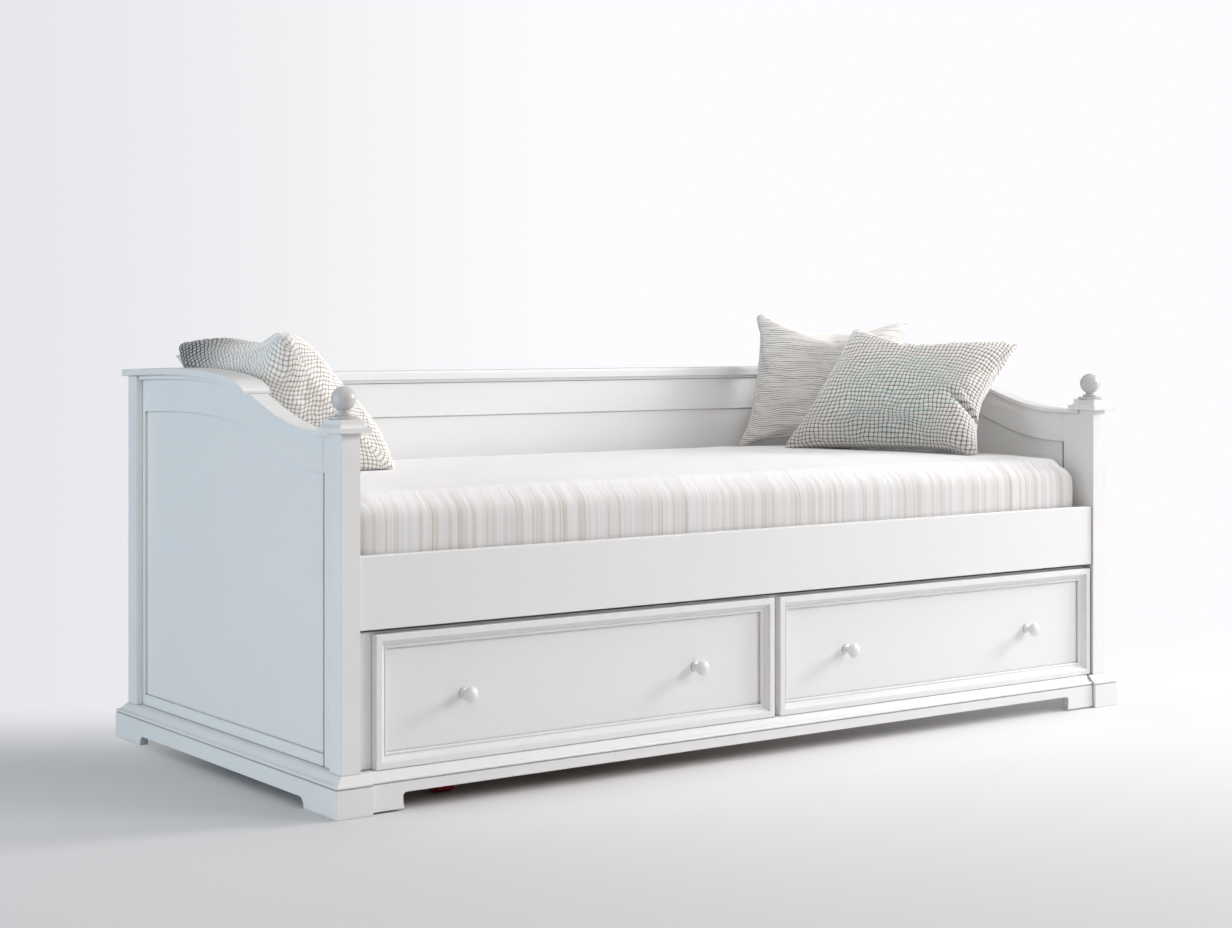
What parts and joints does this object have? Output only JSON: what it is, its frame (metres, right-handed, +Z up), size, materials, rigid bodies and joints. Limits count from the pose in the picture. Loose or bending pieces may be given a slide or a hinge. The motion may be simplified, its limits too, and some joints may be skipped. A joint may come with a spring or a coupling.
{
  "type": "storage daybed",
  "caption": "Painted wooden daybed with arched panelled ends, a panelled back, a slatted base, a mattress, loose pillows and a wide storage drawer that rolls out in front.",
  "frame": {"origin": "middle of the footprint of the base, on the floor", "axes": "+X along the length to the right, +Y towards the panelled back, +Z up; the drawer opens towards -Y"},
  "size_m": [2.142, 1.04, 0.9573],
  "materials": {
    "white_paint": "satin white paint",
    "pale_plywood": "clear lacquer",
    "slat_wood": "bare planed",
    "mattress_cloth": "woven cotton",
    "net_cloth": "puffed cells in a net",
    "plain_cloth": "plain cotton",
    "ribbed_cloth": "crinkled cotton",
    "steel": "zinc plated",
    "red_tread": "satin"
  },
  "bodies": {
    "bed_frame": {"back_bottom_rail": "white_paint", "back_cap": "white_paint", "back_panel": "white_paint", "back_top_rail": "white_paint", "front_rail": "white_paint", "left_back_post": "white_paint", "left_bottom_rail": "white_paint", "left_cap": "white_paint", "left_finial": "white_paint", "left_front_post": "white_paint", "left_panel": "white_paint", "left_plinth": "white_paint", "left_post_cap": "white_paint", "left_top_rail": "white_paint", "mattress": "mattress_cloth", "pillow_net_left": "net_cloth", "pillow_net_right": "net_cloth", "pillow_plain_left": "plain_cloth", "pillow_ribbed_right": "ribbed_cloth", "right_back_post": "white_paint", "right_bottom_rail": "white_paint", "right_cap": "white_paint", "right_finial": "white_paint", "right_front_post": "white_paint", "right_panel": "white_paint", "right_plinth": "white_paint", "right_post_cap": "white_paint", "right_top_rail": "white_paint", "slat_01": "slat_wood", "slat_02": "slat_wood", "slat_03": "slat_wood", "slat_04": "slat_wood", "slat_05": "slat_wood", "slat_06": "slat_wood", "slat_07": "slat_wood", "slat_08": "slat_wood", "slat_09": "slat_wood", "slat_10": "slat_wood"},
    "drawer": {"caster_1_fork": "steel", "caster_2_fork": "steel", "caster_3_fork": "steel", "caster_4_fork": "steel", "drawer_back": "pale_plywood", "drawer_bottom": "pale_plywood", "drawer_divider": "pale_plywood", "drawer_frame_left": "white_paint", "drawer_frame_right": "white_paint", "drawer_front": "white_paint", "drawer_plinth": "white_paint", "drawer_side_left": "pale_plywood", "drawer_side_right": "pale_plywood", "knob_1": "white_paint", "knob_2": "white_paint", "knob_3": "white_paint", "knob_4": "white_paint"},
    "wheel_1": {"caster_1_wheel": "red_tread"},
    "wheel_2": {"caster_2_wheel": "red_tread"},
    "wheel_3": {"caster_3_wheel": "red_tread"},
    "wheel_4": {"caster_4_wheel": "red_tread"}
  },
  "joints": [
    {"name": "trundle_slide", "type": "slide", "parent": "bed_frame", "child": "drawer", "axis": [0, -1, 0], "range_m": [0, 0.95]},
    {"name": "wheel_1_spin", "type": "hinge", "parent": "drawer", "child": "wheel_1", "pos_m": [-0.78, -0.4057, 0.032], "axis": [1, 0, 0], "continuous": true},
    {"name": "wheel_2_spin", "type": "hinge", "parent": "drawer", "child": "wheel_2", "pos_m": [0.78, -0.3057, 0.032], "axis": [1, 0, 0], "continuous": true},
    {"name": "wheel_3_spin", "type": "hinge", "parent": "drawer", "child": "wheel_3", "pos_m": [-0.78, 0.36, 0.032], "axis": [1, 0, 0], "continuous": true},
    {"name": "wheel_4_spin", "type": "hinge", "parent": "drawer", "child": "wheel_4", "pos_m": [0.78, 0.36, 0.032], "axis": [1, 0, 0], "continuous": true}
  ],
  "couplings": [
    {"joint": "wheel_1_spin", "follows": "trundle_slide", "rad_per_m": 31.25},
    {"joint": "wheel_2_spin", "follows": "trundle_slide", "rad_per_m": 31.25},
    {"joint": "wheel_3_spin", "follows": "trundle_slide", "rad_per_m": 31.25},
    {"joint": "wheel_4_spin", "follows": "trundle_slide", "rad_per_m": 31.25}
  ]
}
